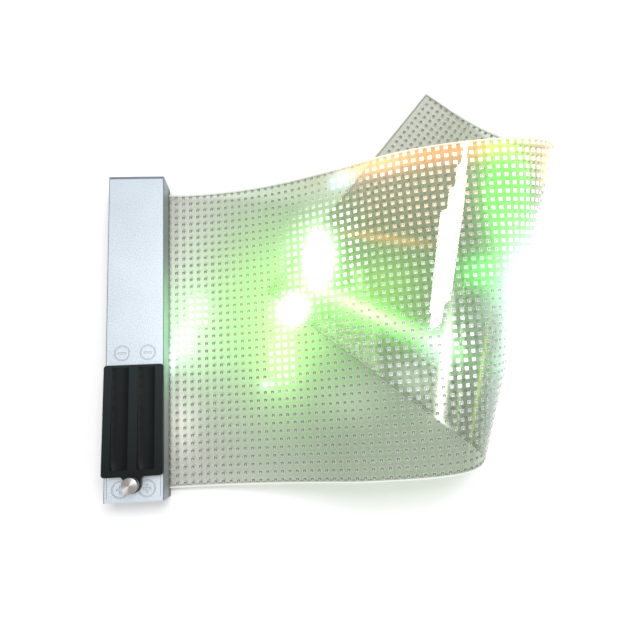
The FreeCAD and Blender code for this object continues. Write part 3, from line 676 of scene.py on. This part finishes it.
def film_tint(f, u, v, edge, open_end):
    """What the film lets through: clear at its ends, a darker grey-green on its rise as painted
    shade, paler in a ring round each package, darker in a painted soft shadow beside each one
    near the bar, and darker in a line along its edges and on the rim where it isn't open, all
    times the painted tint of the light."""
    clear, returning, tip = (0.895, 0.90, 0.88), (0.835, 0.85, 0.81), (0.86, 0.865, 0.84)
    grey_green, white, shadow = (0.675, 0.73, 0.645), (1.0, 1.0, 1.0), (0.2, 0.22, 0.2)
    line_grey, rim_grey = (0.50, 0.52, 0.49), (0.40, 0.47, 0.36)
    ends = f.between(f.ramp(u, 0.25, 0.36), clear, returning)
    ends = f.between(f.ramp(u, 0.465, 0.495), ends, tip)
    # painted shade: a darker grey-green on the film's rise
    rise = f.times(f.ramp(u, -0.02, 0.17), f.ramp(u, 0.38, 0.24))
    tint = f.between(rise, ends, grey_green)
    ring = f.ramp(f.apart(from_lattice(f, u, v, 0, 0), RING_REACH), 0.10, 0.02)
    tint = f.between(f.times(ring, 0.10), tint, white)
    # painted shadow of each package, on the film near the bar
    beside = f.ramp(from_lattice(f, u, v, *SHADOW_SHIFT), RING_REACH, 0.05)
    painted_led_shadow = f.times(beside, f.ramp(u, 0.085, 0.03))
    tint = f.between(f.times(painted_led_shadow, 0.30), tint, shadow)
    line = f.ramp(f.apart(edge, metre(LINE_INSET)), 0.00040, 0.00015)
    tint = f.between(line, tint, line_grey)
    rim = f.times(f.ramp(edge, 0.0009, 0.0006), f.less(1.0, open_end))
    tint = f.between(rim, tint, rim_grey)
    return f.multiplied(tint, f.point_colour("painted_light_tint"))


def clear_film():
    """See-through film: a tint, a slight haze with a milky border along its open edges, a
    mirror gloss of 0.05 + 0.9 facing^5 that grows towards grazing views, and the light that
    spreads in it."""
    f = Finish("clear_film_finish")
    where = f.parts(f.add("Attribute", attribute_name="flat_place").outputs["Vector"])
    u, v = where["X"], where["Y"]
    edge = f.math("MINIMUM", f.less(metre(FILM_HALF_WIDTH), f.magnitude(v)),
                  f.less(metre(FILM_END), u))
    open_end = f.math("MAXIMUM", f.ramp(v, -0.02, 0.02), f.ramp(f.apart(u, 0.375), 0.085, 0.105))
    border = f.times(f.ramp(edge, 0.0013, 0.0009), f.plus(0.15, f.times(open_end, 0.85)))
    clear = f.add("BsdfTransparent", {"Color": film_tint(f, u, v, edge, open_end)})
    haze = f.add("BsdfDiffuse", {"Color": (0.90, 0.91, 0.88, 1.0), "Roughness": 0.5})
    haze_share = f.plus(0.05, f.times(border, 0.75))
    body = f.add("MixShader", {"Fac": haze_share, 1: clear.outputs[0], 2: haze.outputs[0]})
    wave = f.relief(f.noise(22.0, 0.0), 0.02)
    gloss = f.add("BsdfGlossy", {"Color": (1, 1, 1, 1), "Roughness": 0.03, "Normal": wave})
    facing = f.add("LayerWeight", {"Blend": 0.5}).outputs["Facing"]
    gloss_share = f.plus(0.05, f.times(f.math("POWER", facing, 5.0), 0.9))
    skin = f.add("MixShader", {"Fac": gloss_share, 1: body.outputs[0], 2: gloss.outputs[0]})
    light = f.add("Emission", {"Color": f.point_colour("glow"), "Strength": 1.0})
    return f.done(f.add("AddShader", {0: skin.outputs[0], 1: light.outputs[0]}))


def led_finish(name, colour, rough, power):
    """A small moulded part that lights up with the film's light at its place, painted highlights
    included, its own colour under a painted tint of that light.
    """
    f = Finish(name)
    dark, pale = [c * 0.85 for c in colour], [min(1, c * 1.12) for c in colour]
    tone = f.between(f.ramp(f.noise(900.0), 0.3, 0.7), dark, pale)
    return f.done(f.add("BsdfPrincipled", {
        "Base Color": f.multiplied(tone, f.point_colour("painted_light_tint")), "Roughness": rough,
        "Emission Color": f.point_colour("light"), "Emission Strength": power}))


def turned_knob():
    """Turned metal: a top spun about the knob's axis with fine rings in its height, a painted
    highlight in two wedges, ((1 + cos 2(turn - 0.75)) / 2)^3, and painted shade on the rim."""
    f = Finish("turned_knob_finish")
    low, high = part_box("thumbscrew")
    middle = (low + high) / 2
    centred = {"Vector": f.place(), "Location": (-middle.x, -middle.y, 0)}
    where = f.parts(f.add("Mapping", centred).outputs[0])
    turn = f.math("ARCTAN2", where["Y"], where["X"])
    # painted highlight: two bright wedges by the turn about the axis
    wedge = f.plus(0.5, f.times(f.math("COSINE", f.times(f.less(turn, 0.75), 2.0)), 0.5))
    square = f.plus(f.math("POWER", where["X"], 2.0), f.math("POWER", where["Y"], 2.0))
    rings = f.math("SINE", f.times(f.math("SQRT", square), 26000.0))
    speck = f.noise(1400.0)
    painted_sheen_and_speck = f.plus(f.times(f.math("POWER", wedge, 3.0), 0.85), f.times(speck, 0.15))
    tone = f.between(painted_sheen_and_speck, (0.30, 0.29, 0.27), (0.90, 0.89, 0.86))
    # painted shade: darker where the rim faces sideways
    tone = f.between(f.ramp(f.facing("Z"), 0.75, 0.15), tone, (0.24, 0.24, 0.24))
    height = f.plus(f.times(rings, 0.02), f.times(speck, 0.02))
    return f.done(f.add("BsdfPrincipled", {
        "Base Color": tone, "Metallic": 1.0, "Roughness": 0.34,
        "Normal": f.relief(height, 0.2)}))


def bar_finish():
    """Bead-blasted silver: a bluish white with a fine grain and soft broad mottling, a dark
    painted shade line along the top's side edges, and painted shade on the side walls, darker low
    down. The wall towards the film has a faint painted green glow beside its middle, standing in
    for the film's light falling on it."""
    f = Finish("blasted_bar_finish")
    grain = f.noise(1300.0, 2.0)
    cloud = f.noise(30.0, 1.0)
    where = f.parts(f.place())
    sideways = f.facing("X")
    mixed = f.plus(f.times(grain, 0.88), f.times(cloud, 0.12))
    tone = f.between(f.ramp(mixed, 0.38, 0.62), (0.605, 0.67, 0.73), (0.785, 0.855, 0.915))
    # painted shade: a dark line along the top's side edges
    painted_edge_shade = f.ramp(f.magnitude(where["X"]), metre(BAR_HALF - 0.9), metre(BAR_HALF - 0.4))
    tone = f.between(painted_edge_shade, tone, (0.14, 0.165, 0.20))
    # painted shade on the side walls, darker low down
    wall = f.between(f.ramp(where["Z"], 0.004, 0.014), (0.085, 0.095, 0.09), (0.33, 0.355, 0.37))
    tone = f.between(f.ramp(f.magnitude(sideways), 0.6, 0.95), tone, wall)
    # painted light: the film's green light on the wall beside it, given as glow
    painted_film_glow = f.times(f.ramp(sideways, 0.6, 0.95),
                          f.ramp(f.apart(where["Y"], 0.002), 0.075, 0.020))
    return f.done(f.add("BsdfPrincipled", {
        "Base Color": tone, "Metallic": 1.0, "Roughness": f.span(cloud, 0.46, 0.54),
        "Normal": f.relief(grain, 0.12), "Emission Color": (0.26, 1.0, 0.30, 1.0),
        "Emission Strength": f.times(painted_film_glow, 0.20)}))


def cover_finish():
    """Satin black moulding with a fine grain, light and shade painted in: near black where it
    leans and down in the flutes as painted shade, greyer where it faces up and towards the far
    end of the cover as painted light."""
    f = Finish("cover_finish")
    low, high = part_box("battery_cover")
    where = f.parts(f.place())
    far = f.ramp(where["Y"], low.y - 0.02, high.y + 0.02)
    # painted light: greyer where the cover faces up, more so towards its far end
    painted_light_and_grain = f.times(f.ramp(f.facing("Z"), 0.86, 0.985), f.plus(0.25, f.times(far, 0.75)))
    aside = f.apart(f.magnitude(where["X"]), metre(CELL_MIDDLE))
    along = f.times(*[f.ramp(where["Y"], *map(metre, end)) for end in (FLUTE_START, FLUTE_STOP)])
    # painted shade down in the flutes
    flute = f.times(f.ramp(aside, *map(metre, FLUTE_HALF)), along)
    shade = f.plus(0.45, f.times(f.ramp(aside, 0.0, 0.006), 0.45))
    painted_light_and_grain = f.times(painted_light_and_grain, f.less(1.0, f.times(flute, shade)))
    grain = f.noise(900.0)
    painted_light_and_grain = f.times(painted_light_and_grain, f.plus(0.8, f.times(grain, 0.4)))
    tone = f.between(painted_light_and_grain, (0.0012, 0.0020, 0.0018), (0.0165, 0.0235, 0.0245))
    return f.done(f.add("BsdfPrincipled", {
        "Base Color": tone, "Roughness": 0.42, "Specular IOR Level": 0.13,
        "Normal": f.relief(grain, 0.05)}))


def dress(material, *names):
    """Gives CAD nodes a finish."""
    for name in names:
        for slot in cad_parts[name].material_slots:
            slot.material = material


def soft_edges(name, width):
    """Rounds the crisp edges of a CAD node: its loose triangles are joined, then bevelled."""
    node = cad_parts[name]
    weld = node.modifiers.new("weld", "WELD")
    weld.merge_threshold = metre(WELD_REACH)
    bevel = node.modifiers.new("bevel", "BEVEL")
    bevel.width = metre(width)
    bevel.segments = 2
    bevel.limit_method = "ANGLE"
    bevel.angle_limit = math.radians(EDGE_TURN)


# Pieces

film_sheet(clear_film())
led_pieces("led_collars", frame_shape(*COLLAR_HALF, COLLAR_WIDTH, *COLLAR_HEIGHTS),
           led_finish("led_collar_finish", (0.60, 0.61, 0.57), 0.15, 1.0))
bodies = led_pieces("led_bodies", arch_shape(*BODY_HALF, *BODY_NOTCH, *BODY_HEIGHTS, BODY_DRAW),
                    led_finish("led_body_finish", (0.14, 0.135, 0.12), 0.12, 0.6))
led_pieces("led_lenses", box_shape(*LENS_SIDES, *LENS_HEIGHTS, LENS_TAPER),
           led_finish("led_lens_finish", (0.52, 0.52, 0.47), 0.12, 0.9))
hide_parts("led_packages")
polarity_marks(plain_finish("engraved_line_finish", (0.12, 0.13, 0.15), 0.2, 0.6, 1500.0))

dress(bar_finish(), "housing", "battery_end_block")
dress(cover_finish(), "battery_cover")
soft_edges("battery_cover", COVER_EDGE)
knurled_knob(turned_knob())

# Metals: name, colour, spread, roughness, grain, height of the grain and nodes
for name, colour, spread, rough, grain, bump, nodes in (
        ("end_plate_finish", (0.24, 0.275, 0.315), 0.12, 0.42, 1300.0, 0.05, ("far_end_plate",)),
        ("screw_finish", (0.42, 0.42, 0.43), 0.12, 0.3, 1500.0, 0.03, ("end_screws",)),
        ("brass_finish", (0.62, 0.47, 0.22), 0.1, 0.3, 1200.0, 0.03, ("threaded_insert",)),
        ("contact_finish", (0.74, 0.74, 0.72), 0.08, 0.25, 800.0, 0.02,
         ("positive_contact", "negative_contact", "battery_terminals")),
        ("clamp_finish", (0.60, 0.62, 0.64), 0.08, 0.4, 900.0, 0.03, ("film_clamp_bar",)),
        ("shield_finish", (0.66, 0.66, 0.64), 0.08, 0.35, 900.0, 0.03, ("radio_module",)),
        ("capacitor_finish", (0.55, 0.56, 0.58), 0.08, 0.3, 900.0, 0.02, ("capacitors",))):
    dress(plain_finish(name, colour, spread, rough, grain, bump, 1.0), *nodes)

# Moulded and wrapped pieces: name, colour, spread, roughness, grain and nodes
for name, colour, spread, rough, grain, nodes in (
        ("tray_finish", (0.04, 0.042, 0.045), 0.15, 0.5, 900.0, ("battery_tray",)),
        ("cell_wrap_finish", (0.05, 0.22, 0.13), 0.1, 0.35, 300.0,
         ("battery_cell_1", "battery_cell_2")),
        ("seal_finish", (0.018, 0.020, 0.020), 0.2, 0.7, 1200.0,
         ("slot_seal_upper", "slot_seal_lower")),
        ("board_finish", (0.02, 0.13, 0.06), 0.25, 0.4, 500.0, ("driver_board",)),
        ("connector_finish", (0.70, 0.66, 0.56), 0.08, 0.5, 700.0, ("film_connectors",)),
        ("chip_finish", (0.025, 0.025, 0.027), 0.2, 0.45, 1500.0,
         ("driver_chips", "control_chip")),
        ("ferrite_finish", (0.06, 0.058, 0.055), 0.2, 0.6, 900.0, ("power_inductor",))):
    dress(plain_finish(name, colour, spread, rough, grain), *nodes)


# Floor, light and camera, in metres

FLOOR_HALF = 3.0

# Sky: colour at the horizon and from a height on, which is the upward part of the direction
HORIZON = (0.42, 0.42, 0.42, 1.0)
SKY = (1.0, 1.0, 1.0, 1.0)
SKY_HEIGHT = 0.70
SKY_STRENGTH = 0.86

# Strips of light: their height, then name, place (x, y), size and power
STRIP_HEIGHT = 0.70
STRIPS = (
    ("broad_strip", (0.221, 0.095), (0.126, 0.19), 1.25),
    ("low_strip", (0.208, -0.018), (0.075, 0.036), 0.13),
    ("mid_strip", (0.235, 0.208), (0.090, 0.036), 0.16),
    ("upper_strip", (0.244, 0.245), (0.055, 0.038), 0.10),
    ("top_strip", (0.250, 0.285), (0.026, 0.042), 0.06),
)

# Camera: sensor and focal length in millimetres, then its place and three directions
SENSOR_WIDTH = 36.0
FOCAL_LENGTH = 32.0589
CAMERA_PLACE = (0.108763, -0.082691, 0.488751)
CAMERA_RIGHT = (0.9957732, -0.05049217, 0.07672208)
CAMERA_UP = (0.03533707, 0.98164763, 0.18740125)
CAMERA_BACK = (-0.08477635, -0.18389801, 0.97928264)


def placed(name, data, right, up, back, place):
    """An object that holds a lamp or a lens, by its three directions and its place."""
    holder = bpy.data.objects.new(name, data)
    turn = Matrix((tuple(right), tuple(up), tuple(back))).transposed()
    holder.matrix_world = Matrix.Translation(place) @ turn.to_4x4()
    bpy.context.scene.collection.objects.link(holder)
    return holder


def floor():
    """A plain pale table top under the display."""
    mesh = bpy.data.meshes.new("table_top")
    h = FLOOR_HALF
    mesh.from_pydata([(-h, -h, 0), (h, -h, 0), (h, h, 0), (-h, h, 0)], [], [(0, 1, 2, 3)])
    mesh.materials.append(
        plain_finish("table_finish", (0.93, 0.93, 0.925), 0.006, 0.8, 60.0, 0.01))
    top = bpy.data.objects.new("table_top", mesh)
    bpy.context.scene.collection.objects.link(top)


def soft_box(name, place, target, size, power):
    """A rectangular lamp at a place, facing a target, size across and along."""
    lamp = bpy.data.lights.new(name, "AREA")
    lamp.shape = "RECTANGLE"
    lamp.size, lamp.size_y = size
    lamp.energy = power
    back = np.array(place, float) - np.array(target, float)
    back = back / np.linalg.norm(back)
    right = np.cross((0.0, 1.0, 0.0), back)
    right = right / np.linalg.norm(right)
    holder = placed(name, lamp, right, np.cross(back, right), back, place)
    holder.visible_camera = False
    return holder


def studio():
    """Soft white surroundings that dim towards the horizon, a large lamp overhead, and
    strips of light whose mirror image runs down the film's crest."""
    world = bpy.data.worlds.new("studio")
    world.use_nodes = True
    tree = world.node_tree
    sky = tree.nodes["Background"]
    where = tree.nodes.new("ShaderNodeTexCoord").outputs["Generated"]
    height = tree.nodes.new("ShaderNodeSeparateXYZ")
    tree.links.new(where, height.inputs[0])
    ramp = tree.nodes.new("ShaderNodeValToRGB")
    tree.links.new(height.outputs["Z"], ramp.inputs[0])
    low, high = ramp.color_ramp.elements
    low.position, low.color = 0.0, HORIZON
    high.position, high.color = SKY_HEIGHT, SKY
    tree.links.new(ramp.outputs[0], sky.inputs["Color"])
    sky.inputs["Strength"].default_value = SKY_STRENGTH
    bpy.context.scene.world = world
    lamp = soft_box("high_lamp", (0.27, 0.40, 1.5), (0.15, 0.0, 0.0), (0.7, 0.5), 12.0)
    lamp.visible_glossy = False
    for name, (x, y), size, power in STRIPS:
        strip = soft_box(name, (x, y, STRIP_HEIGHT), (x, y, 0.0), size, power)
        strip.visible_diffuse = False


def camera():
    """The camera at the photograph's place, by its right, up and back directions."""
    lens = bpy.data.cameras.new("camera")
    lens.sensor_width = SENSOR_WIDTH
    lens.lens = FOCAL_LENGTH
    lens.clip_start = 0.01
    bpy.context.scene.camera = placed(
        "camera", lens, CAMERA_RIGHT, CAMERA_UP, CAMERA_BACK, CAMERA_PLACE)


floor()
studio()
camera()
bpy.context.scene.view_settings.view_transform = "Standard"
